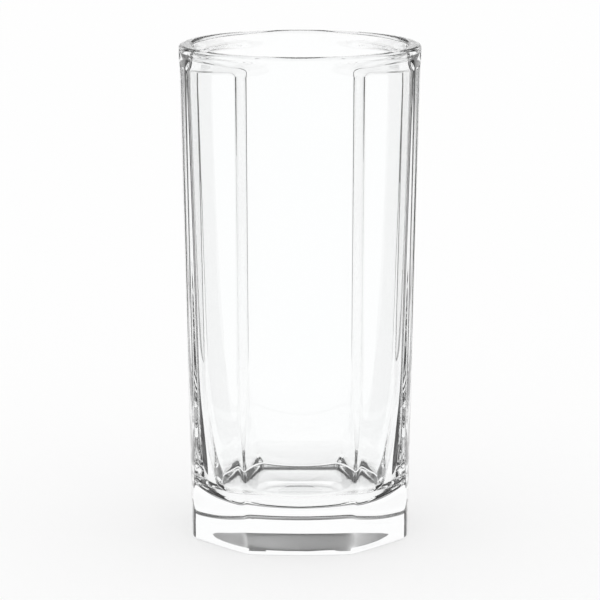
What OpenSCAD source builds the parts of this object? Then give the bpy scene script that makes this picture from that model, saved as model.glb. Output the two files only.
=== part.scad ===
// Highball glass: one clear pressed tumbler with eight bowed flats, a round lip and a heavy solid base.
// It stands on z = 0 with its axis on Z. Wide flats face X and Y, corner flats face the diagonals.

/* [Outside] */
// Height from the resting face to the top of the lip
height = 144; // [110:1:180]
// Width across the wide flats at the resting face, before the foot bevel
foot_w = 64.1; // [56:0.1:70]
// Width across the wide flats at the lip, which is also the outer diameter of the lip
rim_w = 70; // [64:0.1:78]
// How far each corner flat stands out beyond the wide flats at the resting face
foot_corner_step = 2; // [1.4:0.05:2.5]
// How far each corner flat stands out beyond the wide flats at the lip
rim_corner_step = 2; // [1.4:0.05:2.6]
// Radius to which the wide flats are bowed
wide_bow_r = 72.5; // [60:0.5:120]
// Radius to which the corner flats are bowed
corner_bow_r = 54; // [46:1:120]
// Width of the bevel round the foot
foot_bevel_w = 0.5; // [0.2:0.05:1.5]
// Height of the bevel round the foot
foot_bevel_h = 1.2; // [0.4:0.05:2.5]

/* [Lip] */
// Thickness of the lip, from its outside to its inside
lip_w = 4.4; // [3.8:0.05:4.8]
// Height of the round lip, above the flats
lip_h = 2.2; // [1.8:0.05:4]
// Radius that rounds the outer edge of the lip
lip_round_r = 1.3; // [0.8:0.05:1.5]
// Width of the longer curve by which the lip falls to the inside
lip_inner_round_w = 2.6; // [1.6:0.05:2.8]
// Width of the small ledge where the inside meets the lip
lip_ledge_w = 0.15; // [0.1:0.05:0.3]
// How far the shoulders of the corners fall away from the lip, outside and inside
shoulder_drop = 0.9; // [0.5:0.05:2]

/* [Inside] */
// Thickness of the wall at the wide flats, at the lip
rim_wall = 4.25; // [3.6:0.05:5]
// Thickness of the wall at the wide flats, at the floor
floor_wall = 4.7; // [4:0.05:7]
// Thickness of the wall at the corner flats, at the lip
rim_corner_wall = 5.3; // [4.6:0.05:6]
// Thickness of the wall at the corner flats, at the floor
floor_corner_wall = 5.25; // [4.6:0.05:7]
// Radius to which the inner wide flats are bowed
inner_wide_bow_r = 72.5; // [60:0.5:110]
// Radius to which the inner corner flats are bowed
inner_corner_bow_r = 64.5; // [54:0.5:110]
// Thickness of the solid base under the edge of the floor
base_h = 11.3; // [6:0.1:20]
// Width of the curve between the walls and the floor
floor_curve_w = 12; // [8:0.1:13]
// Height of the curve between the walls and the floor
floor_curve_h = 7.4; // [4:0.1:12]
// Diameter of the slight dome in the middle of the floor
floor_dome_d = 28; // [16:0.5:29]
// Height of the slight dome in the middle of the floor
floor_dome_h = 0.9; // [0.4:0.05:1.5]

/* [Underside] */
// Diameter of the hollow under the base
hollow_d = 48; // [30:0.5:52]
// Depth of the hollow under the base
hollow_depth = 0.7; // [0.4:0.05:2.5]

/* [Hidden] */
$fn = 120;

quarters = 4;
quarter_turn = 360 / quarters;
corner_turn = quarter_turn / 2;
glass_tint = [0.88, 0.94, 0.95, 0.4];

// Cuts and blanks run past the glass by this much
overrun = 2;
// Cones that make up the curve down to the floor
curve_steps = 6;
// Cones that make up the inner curve of the lip
lip_steps = 6;

foot_r = foot_w / 2;
rim_r = rim_w / 2;
foot_corner_r = foot_r + foot_corner_step;
rim_corner_r = rim_r + rim_corner_step;
lip_in_r = rim_r - lip_w;
lip_foot_z = height - lip_h;

// The shoulders slope from the lip out past the reach of the sharp corners
shoulder_reach_w = rim_corner_step + overrun;

// Outer size of the glass at the level of the floor
base_share = base_h / height;
floor_r = foot_r + (rim_r - foot_r) * base_share;
floor_corner_r = foot_corner_r + (rim_corner_r - foot_corner_r) * base_share;

// Radius of the sphere whose cap is this wide and this high
function cap_r(wide, high) = (wide * wide / 4 + high * high) / (2 * high);

// Turns one shape to each side of the square and keeps what they all share
module each_side(first_turn) {
    intersection_for (side = [0 : quarters - 1]) {
        rotate([0, 0, first_turn + side * quarter_turn]) children();
    }
}

// A wide drum whose side is one bowed flat of the outside, with the bevel of the foot.
// Its own axis stands behind the axis of the glass, so that the flat lies low_r from that axis.
module outer_drum(low_r, top_r, bow_r) {
    lean = (top_r - low_r) / height;
    translate([low_r - bow_r, 0, 0]) rotate_extrude() polygon([
        [0, 0],
        [bow_r - foot_bevel_w, 0],
        [bow_r + lean * foot_bevel_h, foot_bevel_h],
        [bow_r + lean * height, height],
        [0, height],
    ]);
}

// The same for the inside: a bowed flat that runs down into the floor through a curve
module inner_drum(low_r, top_r, bow_r) {
    tall = height - base_h;
    lean = (top_r - low_r) / tall;
    lean_angle = atan(lean);
    curve_x = bow_r + lean * floor_curve_h * (1 - sin(lean_angle)) - floor_curve_w * cos(lean_angle);
    curve_z = base_h + floor_curve_h;
    curve = [
        for (step = [0 : curve_steps])
            let (turn = (90 - lean_angle) * step / curve_steps - 90)
                [curve_x + floor_curve_w * cos(turn), curve_z + floor_curve_h * sin(turn)]
    ];
    translate([low_r - bow_r, 0, 0]) rotate_extrude() polygon(concat(
        [[0, base_h]],
        curve,
        [[bow_r + lean * (tall + overrun), height + overrun], [0, height + overrun]]
    ));
}

// Eight bowed flats, cut off below the lip by sloping shoulders
module outside() {
    intersection() {
        each_side(0) outer_drum(foot_r, rim_r, wide_bow_r);
        each_side(corner_turn) outer_drum(foot_corner_r, rim_corner_r, corner_bow_r);
        rotate_extrude() polygon([
            [0, 0],
            [rim_r + shoulder_reach_w, 0],
            [rim_r + shoulder_reach_w, lip_foot_z - shoulder_drop],
            [rim_r, lip_foot_z],
            [0, lip_foot_z],
        ]);
    }
}

// The space for the drink, with eight bowed flats that run down to the floor.
// Its corners run out under the lip, where only a round mouth is left.
module cavity() {
    mouth_r = lip_in_r - lip_ledge_w;
    intersection() {
        each_side(0) inner_drum(floor_r - floor_wall, rim_r - rim_wall, inner_wide_bow_r);
        each_side(corner_turn)
            inner_drum(
                floor_corner_r - floor_corner_wall,
                rim_corner_r - rim_corner_wall,
                inner_corner_bow_r
            );
        rotate_extrude() polygon([
            [0, 0],
            [mouth_r + shoulder_reach_w, 0],
            [mouth_r + shoulder_reach_w, lip_foot_z - shoulder_drop],
            [mouth_r, lip_foot_z],
            [mouth_r, height + overrun],
            [0, height + overrun],
        ]);
    }
}

// Round lip: a small round outside, and a longer curve down to the inside.
// Its middle is rooted in the wall by the overrun.
module lip() {
    crest_r = lip_in_r + lip_inner_round_w;
    inner_curve = [
        for (step = [0 : lip_steps])
            let (turn = 90 * step / lip_steps)
                [crest_r - lip_inner_round_w * sin(turn), lip_foot_z + lip_h * cos(turn)]
    ];
    rotate_extrude() {
        polygon(concat(
            inner_curve,
            [[rim_r, lip_foot_z], [rim_r, height - lip_round_r], [rim_r - lip_round_r, height]]
        ));
        translate([rim_r - lip_round_r, height - lip_round_r]) circle(r = lip_round_r);
        translate([crest_r, lip_foot_z - overrun])
            square([rim_r - lip_round_r - crest_r, lip_h + overrun]);
    }
}

// Slight rise in the middle of the floor, rooted in the base by the overrun
module floor_dome() {
    dome_r = cap_r(floor_dome_d, floor_dome_h);
    intersection() {
        translate([0, 0, base_h + floor_dome_h - dome_r]) sphere(r = dome_r);
        translate([0, 0, base_h - overrun]) cylinder(h = 2 * overrun, d = floor_dome_d + overrun);
    }
}

// Shallow dome under the base, so that the glass stands on a ring
module underside_hollow() {
    dome_r = cap_r(hollow_d, hollow_depth);
    translate([0, 0, hollow_depth - dome_r]) sphere(r = dome_r);
}

module tumbler() {
    color(glass_tint) union() {
        difference() {
            outside();
            cavity();
            underside_hollow();
        }
        floor_dome();
        lip();
    }
}

tumbler();
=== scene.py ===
import math

import bmesh
import bpy
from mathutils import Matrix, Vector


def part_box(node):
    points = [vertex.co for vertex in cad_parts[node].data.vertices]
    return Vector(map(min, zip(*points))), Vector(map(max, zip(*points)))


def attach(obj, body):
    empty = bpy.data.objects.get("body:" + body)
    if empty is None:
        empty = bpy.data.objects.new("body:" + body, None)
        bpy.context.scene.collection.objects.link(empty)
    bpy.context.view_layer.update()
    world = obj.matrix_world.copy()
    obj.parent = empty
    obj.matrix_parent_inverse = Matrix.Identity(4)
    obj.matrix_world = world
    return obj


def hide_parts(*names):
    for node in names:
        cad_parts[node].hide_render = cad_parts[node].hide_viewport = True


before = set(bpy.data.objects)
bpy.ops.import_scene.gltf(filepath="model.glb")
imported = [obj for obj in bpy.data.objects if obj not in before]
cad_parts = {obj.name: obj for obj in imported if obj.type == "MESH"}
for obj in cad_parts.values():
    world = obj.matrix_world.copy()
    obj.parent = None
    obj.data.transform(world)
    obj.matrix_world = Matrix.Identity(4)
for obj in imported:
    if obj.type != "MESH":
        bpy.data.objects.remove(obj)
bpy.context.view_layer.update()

# Highball glass: one clear pressed tumbler with eight bowed flats, a round lip and a heavy base.
# It stands on a white floor in a white room. Black cards and blades lie round it and a grey hood hangs
# above it. They draw its dark lines and the grey of its base, and only the glass shows them.

# Sizes of the tumbler in millimetres. Height and width are the part's. The soft corners, the flatter foot,
# the heel of the wall and the crown of the lip are finer than in the part.
MM = 0.001
low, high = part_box("tumbler")
HEIGHT = (high.z - low.z) / MM
RIM_R = (high.x - low.x) / 2 / MM

# Outside: reach and bow of the flats, which turn flatter towards the foot
FOOT_R = 32.05
CORNER_STEP = 2.0
FOOT_CORNER_R = FOOT_R + CORNER_STEP
RIM_CORNER_R = RIM_R + CORNER_STEP
WIDE_BOW_R = 72.5
CORNER_BOW_R = 54
FOOT_WIDE_BOW_R = 140
FOOT_CORNER_BOW_R = 200
FOOT_CORNER_TUCK = 0.95
FOOT_FLAT_H = 40
FOOT_BEVEL_W = 0.5
FOOT_BEVEL_H = 1.2

# Lip, and the height over which the corners run out below it
LIP_W = 4.0
LIP_H = 1.6
LIP_CROWN_H = 1.2
LIP_SQUARENESS = 2.5
RUN_OUT_H = 4.0
LIP_IN_R = RIM_R - LIP_W
LIP_FOOT_Z = HEIGHT - LIP_H
CROWN_Z = HEIGHT - LIP_CROWN_H

# Inside: walls, the heel where they thicken, and the curve down to the floor
BASE_H = 11.3
FLOOR_SHARE = BASE_H / HEIGHT
RIM_WALL = 4.25
FLOOR_WALL = 4.7
RIM_CORNER_WALL = 5.3
FLOOR_CORNER_WALL = 5.25
INNER_WIDE_BOW_R = 72.5
INNER_CORNER_BOW_R = 64.5
HEEL_W = 1.5
HEEL_H = 45
FLOOR_CURVE_W = 10.5
FLOOR_CURVE_H = 7.4
FLOOR_DOME_H = 0.9

# Underside
HOLLOW_R = 24.0
HOLLOW_DEPTH = 0.7

# How softly the pressed glass turns its corners
OUTER_SOFT = 0.16
FOOT_SOFT = 0.4
FOOT_SOFT_H = 18
INNER_SOFT = 0.12
FLOOR_SOFT = 2.5
FLOOR_SOFT_H = 40

# Columns round the glass, on each wide flat and on each corner flat
WIDE_COLUMNS = 56
CORNER_COLUMNS = 40

# Rings, from the middle of the underside up the outside, over the lip and down to the floor
HOLLOW_RINGS = 24
RESTING_RINGS = 6
FOOT_RINGS = 10
FLAT_RINGS = 40
RUN_OUT_RINGS = 24
LIP_RINGS = 3
CROWN_RINGS = 36
CURVE_RINGS = 28
FLOOR_RINGS = 16

# Turns round the glass
QUARTERS = 4
QUARTER = math.pi / 2
EIGHTH = QUARTER / 2
HALVINGS = 40

# Clear glass, with a faint cloud of tint and haze, and the waves that the mould leaves
GLASS_BEND = 1.52
GLASS_TINT = (0.985, 0.995, 0.995, 1)
GLASS_HAZE = 0.004
CLOUD_SCALE = 40
CLOUD_DETAIL = 2
WAVE_SCALE = 90
WAVE_DETAIL = 1.5
WAVE_STRETCH = (1, 1, 0.35)
WAVE_STRENGTH = 0.03
WAVE_H = 0.0004

# Room in metres. The shares are how much of its shade the paper loses, for the camera and in the glass.
WHITE = (1, 1, 1, 1)
PAPER_WHITE = (0.98, 0.98, 0.98, 1)
CAMERA_WHITE_SHARE = 0.6
GLASS_WHITE_SHARE = 0.6
FLOOR_HALF_W = 4
FLOOR_DROP = 0.00005

# Black cards and blades, at these angles in degrees from straight behind the glass
CARD_BLACK = (0.01, 0.01, 0.01, 1)
CARD_START = 40
CARD_END = 82
CARD_NEAR = 0.05
CARD_FAR = 1.0
CARD_H = 0.8
CARD_LIFT = 0.0001
CARD_STEPS = 24
BLADE_START = 17
BLADE_END = 24.5
BLADE_NEAR = 0.2
BLADE_FAR = 1.6

# Grey hood, whose edge is seen from the glass at this angle in degrees above the floor
HOOD_R = 1.5
HOOD_LOW = 17.0
HOOD_H = 1.5
HOOD_STEPS = 64
HOOD_TOP_DARK = (0.03, 0.03, 0.03, 1)
# Painted shade and light of folds on the hood's smooth cloth: its two colours, and the size, detail,
# contrast and middle of the painted folds
PAINTED_FOLD_SHADE = (0.05, 0.05, 0.05, 1)
PAINTED_FOLD_LIGHT = (0.75, 0.75, 0.75, 1)
PAINTED_FOLD_SCALE = 1.6
PAINTED_FOLD_DETAIL = 1
PAINTED_FOLD_CONTRAST = 3.0
PAINTED_FOLD_MIDDLE = 0.5

# Camera, with the angle in degrees by which it looks down
CAMERA_PLACE = (0, -0.8, 0.2401)
CAMERA_DIP = 12.118
CAMERA_LENS = 167.18
CAMERA_SENSOR_W = 36
LIGHT_BOUNCES = 14


def mix(start, end, share):
    """The value at a share of the way between two."""
    return start + (end - start) * share


def shares(count):
    """Even steps from just above 0 to 1."""
    return [(step + 1) / count for step in range(count)]


def eased(share):
    """A share that starts and ends gently."""
    return share ** 2 * (3 - 2 * share)


def fading(length, reach):
    """Falls from 1 at no length to 0 at the reach, and stays there."""
    return max(0, 1 - length / reach)


def soft_min(first, second, softness):
    """The lesser of two lengths, with their crossing rounded."""
    gap = abs(first - second) / softness
    return min(first, second) - softness * math.log1p(math.exp(-gap))


def bowed_flat(reach, bow_r, angle):
    """Distance from the axis of the glass to a flat, as seen at an angle from the middle of the flat."""
    setback = bow_r - reach
    return math.sqrt(bow_r ** 2 - (setback * math.sin(angle)) ** 2) - setback * math.cos(angle)


def corner_angle(wide, corner):
    """Where a wide flat meets a corner flat. Both are given as reach and bow radius."""
    near, far = 0.0, EIGHTH
    for halving in range(HALVINGS):
        angle = (near + far) / 2
        if bowed_flat(*wide, angle) < bowed_flat(*corner, EIGHTH - angle):
            near = angle
        else:
            far = angle
    return near


def column_angles(edge):
    """Angles of the columns, which crowd together at the corners of the glass."""
    angles = []
    for quarter in range(QUARTERS):
        for middle, half, columns in (
            (quarter * QUARTER, edge, WIDE_COLUMNS),
            ((quarter + 0.5) * QUARTER, EIGHTH - edge, CORNER_COLUMNS),
        ):
            for column in range(columns):
                angles.append(middle - half * math.cos(math.pi * column / columns))
    return angles


def off_middle(angle, turn):
    """Angle from the middle of the nearest of four flats."""
    return (angle - turn + EIGHTH) % QUARTER - EIGHTH


def flats_ring(wide, corner, softness):
    """Angle and radius of every column in an eight-sided section with soft corners."""
    return [
        (
            angle,
            soft_min(
                bowed_flat(*wide, off_middle(angle, 0)),
                bowed_flat(*corner, off_middle(angle, EIGHTH)),
                softness,
            ),
        )
        for angle in column_angles(corner_angle(wide, corner))
    ]


def round_ring(radius, like):
    """A round section with the same columns as another."""
    return [(angle, radius) for angle, flat in like]


def outer_flats(z, inset=0.0):
    """Section of the outside. The inset shrinks it, as the round edge of the foot needs."""
    share = z / HEIGHT
    wide = mix(FOOT_R, RIM_R, share)
    flatness = fading(z, FOOT_FLAT_H) ** 2
    corner = mix(FOOT_CORNER_R, RIM_CORNER_R, share) - FOOT_CORNER_TUCK * flatness
    wide_bow_r = 1 / mix(1 / (WIDE_BOW_R + wide - FOOT_R), 1 / FOOT_WIDE_BOW_R, flatness)
    corner_bow_r = 1 / mix(1 / (CORNER_BOW_R + corner - FOOT_CORNER_R), 1 / FOOT_CORNER_BOW_R, flatness)
    return flats_ring(
        (wide - inset, wide_bow_r - inset),
        (corner - inset, corner_bow_r - inset),
        mix(OUTER_SOFT, FOOT_SOFT, fading(z, FOOT_SOFT_H)),
    )


def inner_flat(z, low_r, top_r, bow_r):
    """Reach and bow radius of an inner flat, which leans in at the heel and curves into the floor."""
    rise = z - BASE_H
    grown = rise * (top_r - low_r) / (HEIGHT - BASE_H)
    grown -= HEEL_W * fading(rise, HEEL_H) ** 2
    depth = fading(rise, FLOOR_CURVE_H)
    grown -= FLOOR_CURVE_W * (1 - math.sqrt(1 - depth ** 2))
    return low_r + grown, bow_r + grown


def inner_flats(z):
    """Section of the inside, with corners that soften towards the floor."""
    floor_r = mix(FOOT_R, RIM_R, FLOOR_SHARE) - FLOOR_WALL
    floor_corner_r = mix(FOOT_CORNER_R, RIM_CORNER_R, FLOOR_SHARE) - FLOOR_CORNER_WALL
    return flats_ring(
        inner_flat(z, floor_r, RIM_R - RIM_WALL, INNER_WIDE_BOW_R),
        inner_flat(z, floor_corner_r, RIM_CORNER_R - RIM_CORNER_WALL, INNER_CORNER_BOW_R),
        mix(INNER_SOFT, FLOOR_SOFT, fading(z - BASE_H, FLOOR_SOFT_H) ** 2),
    )


def underside_rings():
    """The shallow hollow with its soft edge, and the flat ring round it that the glass stands on."""
    foot = outer_flats(0, FOOT_BEVEL_W)
    for share in shares(HOLLOW_RINGS):
        yield round_ring(HOLLOW_R * share, foot), HOLLOW_DEPTH * (1 - share ** 2) ** 2
    for share in shares(RESTING_RINGS):
        yield [(angle, mix(HOLLOW_R, reach, share)) for angle, reach in foot], 0


def outside_rings():
    """The round edge of the foot, and the eight flats, which run out to the round lip."""
    for share in shares(FOOT_RINGS):
        turn = QUARTER * share
        z = FOOT_BEVEL_H * (1 - math.cos(turn))
        yield outer_flats(z, FOOT_BEVEL_W * (1 - math.sin(turn))), z
    run_out_z = LIP_FOOT_Z - RUN_OUT_H
    for share in shares(FLAT_RINGS):
        z = mix(FOOT_BEVEL_H, run_out_z, share)
        yield outer_flats(z), z
    for share in shares(RUN_OUT_RINGS):
        z = mix(run_out_z, LIP_FOOT_Z, share)
        yield [(angle, mix(flat, RIM_R, eased(share))) for angle, flat in outer_flats(z)], z


def lip_rings():
    """Up the outside of the lip and over its rounded crown."""
    like = outer_flats(LIP_FOOT_Z)
    power = 2 / LIP_SQUARENESS
    for share in shares(LIP_RINGS):
        yield round_ring(RIM_R, like), mix(LIP_FOOT_Z, CROWN_Z, share)
    for share in shares(CROWN_RINGS):
        across = math.cos(math.pi * share)
        rise = math.sin(math.pi * share)
        out = math.copysign(abs(across) ** power, across)
        yield (
            round_ring(RIM_R - LIP_W / 2 * (1 - out), like),
            CROWN_Z + LIP_CROWN_H * max(0, rise) ** power,
        )


def inside_rings():
    """The run-out of the inner corners below the lip, the inner flats, their curve and the floor."""
    run_out_z = CROWN_Z - RUN_OUT_H
    for share in shares(RUN_OUT_RINGS):
        z = mix(CROWN_Z, run_out_z, share)
        yield [(angle, mix(LIP_IN_R, flat, eased(share))) for angle, flat in inner_flats(z)], z
    curve_z = BASE_H + FLOOR_CURVE_H
    for share in shares(FLAT_RINGS):
        z = mix(run_out_z, curve_z, share)
        yield inner_flats(z), z
    for share in shares(CURVE_RINGS):
        z = curve_z - FLOOR_CURVE_H * math.sin(QUARTER * share)
        yield inner_flats(z), z
    floor = inner_flats(BASE_H)
    for share in shares(FLOOR_RINGS)[:-1]:
        z = BASE_H + FLOOR_DOME_H * (1 - (1 - share) ** 2)
        yield [(angle, flat * (1 - share)) for angle, flat in floor], z


def verts_of(geometry):
    """The vertices among what an operator made."""
    return [item for item in geometry if isinstance(item, bmesh.types.BMVert)]


def loft(name, rings):
    """A closed skin drawn ring by ring, from the middle of the first ring to the middle of the last."""
    bm = bmesh.new()
    column = bm.verts.layers.int.new("column")
    count = len(rings[0][0])
    start = bmesh.ops.create_circle(bm, cap_ends=True, cap_tris=True, segments=count, radius=1)["verts"]
    middle = min(start, key=lambda vert: vert.co.length)
    middle.co.z = HOLLOW_DEPTH
    around = [vert for vert in start if vert is not middle]
    around.sort(key=lambda vert: math.atan2(vert.co.y, vert.co.x) % math.tau)
    for place, vert in enumerate(around):
        vert[column] = place
    edges = [edge for edge in bm.edges if edge.is_boundary]
    for step, (ring, z) in enumerate(rings):
        if step:
            made = bmesh.ops.extrude_edge_only(bm, edges=edges)["geom"]
            edges = [item for item in made if isinstance(item, bmesh.types.BMEdge) and item.is_boundary]
            around = verts_of(made)
        for vert in around:
            angle, radius = ring[vert[column]]
            vert.co = (radius * math.sin(angle), -radius * math.cos(angle), z)
    last = bmesh.ops.extrude_edge_only(bm, edges=edges)["geom"]
    bmesh.ops.pointmerge(bm, verts=verts_of(last), merge_co=(0, 0, BASE_H + FLOOR_DOME_H))
    bmesh.ops.scale(bm, vec=(MM, MM, MM), verts=bm.verts)
    bmesh.ops.recalc_face_normals(bm, faces=bm.faces)
    for face in bm.faces:
        face.smooth = True
    return new_object(name, bm)


def new_object(name, bm):
    """Makes an object of a finished bmesh and frees it."""
    mesh = bpy.data.meshes.new(name)
    bm.to_mesh(mesh)
    bm.free()
    made = bpy.data.objects.new(name, mesh)
    bpy.context.collection.objects.link(made)
    return made


class Value:
    """A number in a shader. Arithmetic on it adds Math nodes."""

    def __init__(self, shader, socket):
        self.shader = shader
        self.socket = socket

    def math(self, operation, first, second):
        return self.shader.node("Math", {"operation": operation}, {0: first, 1: second})

    def __add__(self, other):
        return self.math("ADD", self, other)

    __radd__ = __add__

    def __sub__(self, other):
        return self.math("SUBTRACT", self, other)

    def __rsub__(self, other):
        return self.math("SUBTRACT", other, self)

    def __mul__(self, other):
        return self.math("MULTIPLY", self, other)

    __rmul__ = __mul__

    def at_most(self, limit):
        return self.math("MINIMUM", self, limit)


class Shader:
    """Node tree of a material or of the world."""

    def __init__(self, owner):
        owner.use_nodes = True
        self.owner = owner
        self.tree = owner.node_tree
        self.tree.nodes.clear()

    def node(self, kind, settings=None, sockets=None, output=0):
        node = self.tree.nodes.new("ShaderNode" + kind)
        for name, setting in (settings or {}).items():
            setattr(node, name, setting)
        for name, value in (sockets or {}).items():
            if isinstance(value, Value):
                self.tree.links.new(value.socket, node.inputs[name])
            else:
                node.inputs[name].default_value = value
        return Value(self, node.outputs[output]) if node.outputs else None

    def blend(self, share, first, second):
        """A colour between two colours, by the colour sockets of a Mix node."""
        return self.node("Mix", {"data_type": "RGBA"}, {0: share, 6: first, 7: second}, output=2)

    def finished(self, surface, output="OutputMaterial"):
        """The material or the world, with this surface."""
        self.node(output, {}, {"Surface": surface})
        return self.owner


def new_shader(name):
    return Shader(bpy.data.materials.new(name))


def clear_glass():
    """Pressed soda glass: clear, with the faint waves that the mould leaves."""
    shader = new_shader("clear_glass")
    place = shader.node("TexCoord", output="Object")
    stretched = shader.node("Mapping", {}, {"Vector": place, "Scale": WAVE_STRETCH})
    waves = shader.node("TexNoise", {}, {"Vector": stretched, "Scale": WAVE_SCALE, "Detail": WAVE_DETAIL})
    cloud = shader.node("TexNoise", {}, {"Vector": place, "Scale": CLOUD_SCALE, "Detail": CLOUD_DETAIL})
    bump = shader.node("Bump", {}, {"Height": waves, "Strength": WAVE_STRENGTH, "Distance": WAVE_H})
    glass = shader.node(
        "BsdfPrincipled",
        {},
        {
            "Base Color": shader.blend(cloud, GLASS_TINT, WHITE),
            "Roughness": GLASS_HAZE * cloud,
            "IOR": GLASS_BEND,
            "Transmission Weight": 1.0,
            "Normal": bump,
        },
    )
    return shader.finished(glass)


def matt(name, colour):
    """Plain matt finish for the blades and the dark top."""
    shader = new_shader(name)
    return shader.finished(shader.node("BsdfDiffuse", {}, {"Color": colour}))


def cloth_with_painted_fold_shade():
    """Grey cloth with painted shade of soft folds: a noise paints it light and dark on the smooth wall, so
    that the base shows it in light and dark.
    """
    shader = new_shader("grey_cloth_painted_fold_shade")
    place = shader.node("TexCoord", output="Object")
    # Noise paints the shade and light of folds that the smooth wall does not have
    painted_folds = shader.node("TexNoise", {}, {"Vector": place, "Scale": PAINTED_FOLD_SCALE, "Detail": PAINTED_FOLD_DETAIL})
    depth = PAINTED_FOLD_CONTRAST * (painted_folds - PAINTED_FOLD_MIDDLE) + PAINTED_FOLD_MIDDLE
    shade = shader.blend(depth, PAINTED_FOLD_SHADE, PAINTED_FOLD_LIGHT)
    return shader.finished(shader.node("BsdfDiffuse", {}, {"Color": shade}))


def white_paper():
    """White paper, as bright as the background but for a faint shadow."""
    shader = new_shader("white_paper")
    paper = shader.node("BsdfDiffuse", {}, {"Color": PAPER_WHITE})
    white = shader.node("Emission", {}, {"Strength": 1.0})
    seen = shader.node("LightPath", output="Is Camera Ray")
    refracted = shader.node("LightPath", output="Is Transmission Ray")
    mirrored = shader.node("LightPath", output="Is Glossy Ray")
    share = CAMERA_WHITE_SHARE * seen + GLASS_WHITE_SHARE * (refracted + mirrored)
    return shader.finished(shader.node("MixShader", {}, {0: share, 1: paper, 2: white}))


def card_black():
    """Black where a card is mirrored inside the glass, and white where it is seen straight through."""
    shader = new_shader("black_card")
    black = shader.node("BsdfDiffuse", {}, {"Color": CARD_BLACK})
    white = shader.node("Emission", {}, {"Strength": 1.0})
    mirrored = shader.node("LightPath", output="Glossy Depth")
    inside = shader.node("LightPath", output="Transmission Depth")
    share = (mirrored * inside).at_most(1.0)
    return shader.finished(shader.node("MixShader", {}, {0: share, 1: white, 2: black}))


def white_world():
    """Even white light from all sides."""
    shader = Shader(bpy.data.worlds.new("white_studio"))
    light = shader.node("Background", {}, {"Color": WHITE, "Strength": 1.0})
    bpy.context.scene.world = shader.finished(light, "OutputWorld")


def white_floor():
    """The table, a hair below the glass."""
    bm = bmesh.new()
    bmesh.ops.create_grid(bm, x_segments=1, y_segments=1, size=FLOOR_HALF_W)
    bmesh.ops.translate(bm, vec=(0, 0, -FLOOR_DROP), verts=bm.verts)
    floor = new_object("white_floor", bm)
    floor.data.materials.append(white_paper())


def only_for_glass(card, material):
    """Gives a card its material, so that it shows in the glass and neither shades nor is seen otherwise.
    """
    card.data.materials.append(material)
    card.visible_camera = False
    card.visible_diffuse = False
    card.visible_shadow = False


def beside(angle, reach, side):
    """Place on the table at an angle from straight behind the glass."""
    turn = math.radians(angle)
    return side * reach * math.sin(turn), reach * math.cos(turn), CARD_LIFT


def black_cards():
    """Black cards that lie round the glass and stand up at their far ends."""
    black = card_black()
    halfway = (CARD_NEAR + CARD_FAR) / 2
    for side in (-1, 1):
        bm = bmesh.new()
        near = bmesh.ops.create_vert(bm, co=beside(CARD_START, CARD_NEAR, side))["vert"][0]
        far = bmesh.ops.create_vert(bm, co=beside(CARD_START, CARD_FAR, side))["vert"][0]
        lying = bmesh.ops.contextual_create(bm, geom=[near, far])["edges"]
        bmesh.ops.spin(
            bm, geom=lying, cent=(0, 0, 0), axis=(0, 0, 1),
            angle=-side * math.radians(CARD_END - CARD_START), steps=CARD_STEPS, use_merge=False,
        )
        far_edges = [edge for edge in bm.edges if min(vert.co.length for vert in edge.verts) > halfway]
        raised = bmesh.ops.extrude_edge_only(bm, edges=far_edges)["geom"]
        bmesh.ops.translate(bm, vec=(0, 0, CARD_H), verts=verts_of(raised))
        only_for_glass(new_object("black_card", bm), black)


def black_blades():
    """Long black blades that lie behind the glass and draw the thin lines along its corners."""
    black = matt("black_blade", CARD_BLACK)
    for side in (-1, 1):
        bm = bmesh.new()
        places = (
            beside((BLADE_START + BLADE_END) / 2, BLADE_NEAR, side),
            beside(BLADE_START, BLADE_FAR, side),
            beside(BLADE_END, BLADE_FAR, side),
        )
        corners = [bmesh.ops.create_vert(bm, co=place)["vert"][0] for place in places]
        bmesh.ops.contextual_create(bm, geom=corners)
        only_for_glass(new_object("black_blade", bm), black)


def grey_hood():
    """Round wall of grey cloth that begins above the white surroundings."""
    bm = bmesh.new()
    edge_z = HOOD_R * math.tan(math.radians(HOOD_LOW))
    ends = [bmesh.ops.create_vert(bm, co=(0, HOOD_R, z))["vert"][0] for z in (edge_z, HOOD_H)]
    bmesh.ops.contextual_create(bm, geom=ends)
    bmesh.ops.spin(
        bm, geom=bm.verts[:] + bm.edges[:], cent=(0, 0, 0), axis=(0, 0, 1),
        angle=math.tau, steps=HOOD_STEPS, use_merge=True,
    )
    only_for_glass(new_object("grey_hood", bm), cloth_with_painted_fold_shade())


def dark_top():
    """Dark cloth over the hood."""
    bm = bmesh.new()
    bmesh.ops.create_circle(bm, cap_ends=True, segments=HOOD_STEPS, radius=HOOD_R)
    bmesh.ops.translate(bm, vec=(0, 0, HOOD_H), verts=bm.verts)
    only_for_glass(new_object("dark_top", bm), matt("dark_cloth", HOOD_TOP_DARK))


def camera():
    data = bpy.data.cameras.new("camera")
    data.sensor_width = CAMERA_SENSOR_W
    data.lens = CAMERA_LENS
    made = bpy.data.objects.new("camera", data)
    made.location = CAMERA_PLACE
    made.rotation_euler = (QUARTER - math.radians(CAMERA_DIP), 0, 0)
    bpy.context.collection.objects.link(made)
    bpy.context.scene.camera = made


def light_paths():
    """Plain colours, and enough bounces for light to find its way through the base."""
    scene = bpy.context.scene
    scene.view_settings.view_transform = "Standard"
    scene.cycles.max_bounces = LIGHT_BOUNCES
    scene.cycles.transmission_bounces = LIGHT_BOUNCES
    scene.cycles.glossy_bounces = LIGHT_BOUNCES


def tumbler():
    """The glass, as one closed skin on the part's only body."""
    rings = [*underside_rings(), *outside_rings(), *lip_rings(), *inside_rings()]
    glass = loft("tumbler_glass", rings)
    glass.data.materials.append(clear_glass())
    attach(glass, "root")
    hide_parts("tumbler")


tumbler()
white_floor()
black_cards()
black_blades()
white_world()
grey_hood()
dark_top()
camera()
light_paths()
